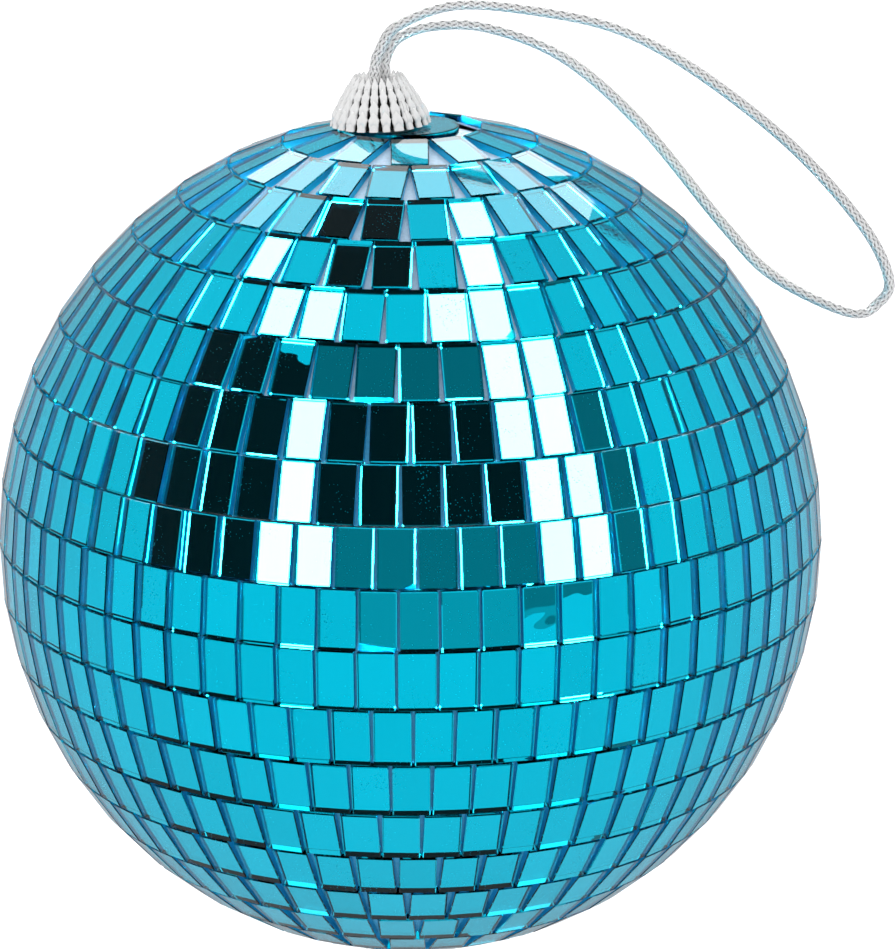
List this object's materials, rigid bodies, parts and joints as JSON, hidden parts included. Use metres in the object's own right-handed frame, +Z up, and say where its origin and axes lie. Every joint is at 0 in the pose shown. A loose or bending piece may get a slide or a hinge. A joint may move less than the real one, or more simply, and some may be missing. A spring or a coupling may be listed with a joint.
{
  "type": "mirror ball",
  "caption": "Round ball covered in rows of flat cyan mirror tiles on a foam core, with a fluted silver cap and a braided cord loop for hanging.",
  "frame": {"origin": "middle of the bottom disc's outer face, where the ball stands, under the ball's centre", "axes": "+Z up through the ball's poles; -Y is the front; +X is the side the cord loop droops to"},
  "size_m": [0.1623, 0.15, 0.1755],
  "materials": {
    "mirror_tile": "cyan mirror glass",
    "foam": "white expanded polystyrene foam",
    "cap_silver": "bright metallised plastic",
    "plug_plastic": "white moulded plastic",
    "cord_silver": "braided metallic thread"
  },
  "bodies": {
    "ball": {"core_upper": "foam", "core_lower": "foam", "tile_row_01": "mirror_tile", "tile_row_02": "mirror_tile", "tile_row_03": "mirror_tile", "tile_row_04": "mirror_tile", "tile_row_05": "mirror_tile", "tile_row_06": "mirror_tile", "tile_row_07": "mirror_tile", "tile_row_08": "mirror_tile", "tile_row_09": "mirror_tile", "tile_row_10": "mirror_tile", "tile_row_11": "mirror_tile", "tile_row_12": "mirror_tile", "tile_row_13": "mirror_tile", "tile_row_14": "mirror_tile", "tile_row_15": "mirror_tile", "tile_row_16": "mirror_tile", "tile_row_17": "mirror_tile", "tile_row_18": "mirror_tile", "tile_row_19": "mirror_tile", "tile_row_20": "mirror_tile", "pole_disc_top": "mirror_tile", "pole_disc_bottom": "mirror_tile", "anchor_plug": "plug_plastic", "cap": "cap_silver"},
    "hanger": {"cord_loop": "cord_silver", "cord_knot": "cord_silver"}
  },
  "joints": [
    {"name": "hanger_spin", "type": "hinge", "parent": "ball", "child": "hanger", "pos_m": [-0.0052, 0, 0.1616], "axis": [0, 0, 1], "continuous": true}
  ]
}
